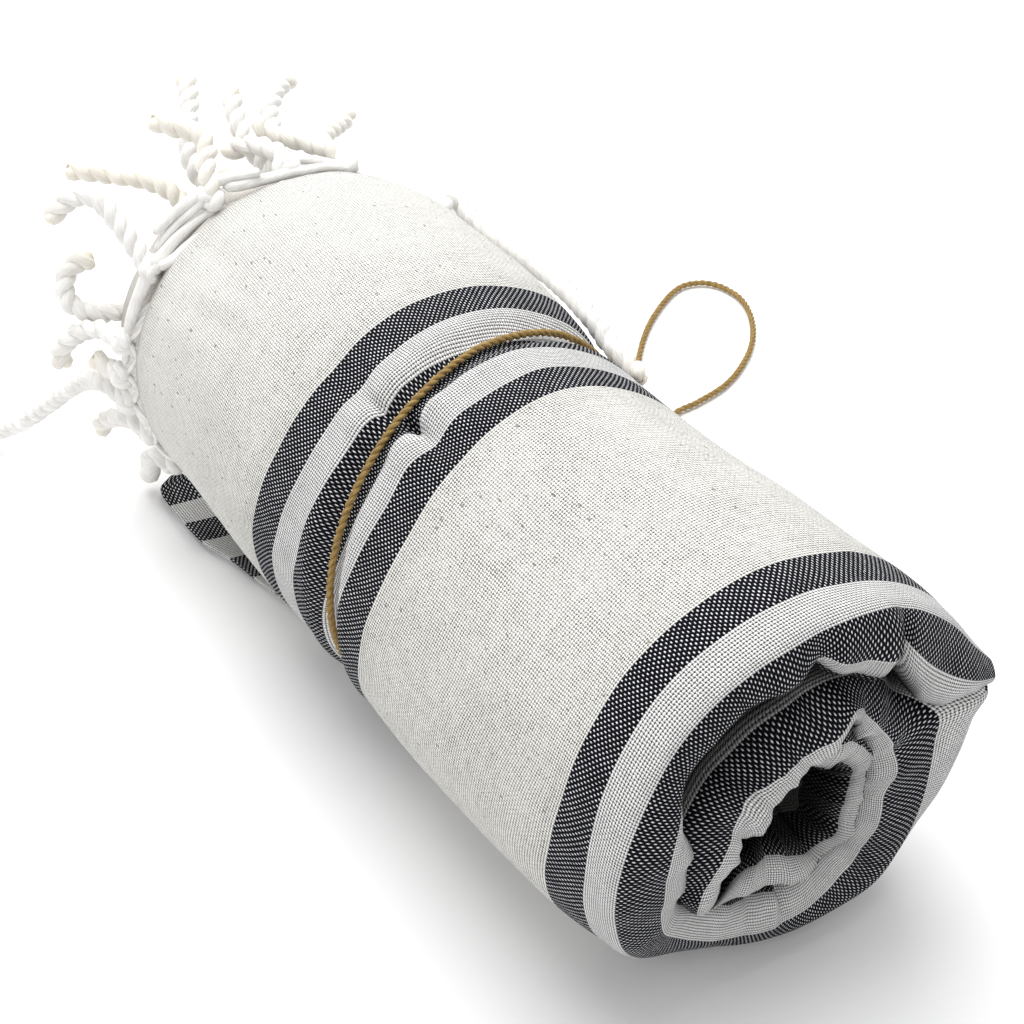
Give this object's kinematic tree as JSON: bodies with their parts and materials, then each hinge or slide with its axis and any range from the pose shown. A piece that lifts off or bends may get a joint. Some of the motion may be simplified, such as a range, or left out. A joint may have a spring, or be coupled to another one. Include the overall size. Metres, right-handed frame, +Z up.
{
  "type": "rolled hammam towel",
  "caption": "Fringed striped cotton hammam towel, folded to a strip, wound into a roll and tied round the waist with twine.",
  "frame": {"origin": "on the surface that the roll lies on, under the middle of the cloth's bounding box, fringe included and twine left out", "axes": "+X along the roll towards the end that shows the folds as a spiral, +Y towards the back, where the twine's knot and loop are, +Z up"},
  "size_m": [0.317, 0.2591, 0.1203],
  "materials": {
    "woven_cotton": "matt plain-woven cotton, off-white with near-black and white stripes across the roll",
    "fringe_yarn": "matt twisted white cotton yarn",
    "tan_twine": "tan two-ply jute twine"
  },
  "bodies": {
    "root": {"towel_roll": "woven_cotton", "loose_edge": "woven_cotton", "fringe_outer": "fringe_yarn", "fringe_inner": "fringe_yarn", "fringe_core": "fringe_yarn", "fringe_back": "fringe_yarn", "tie_band": "tan_twine", "tie_knot": "tan_twine", "tie_loop": "tan_twine"}
  },
  "joints": []
}
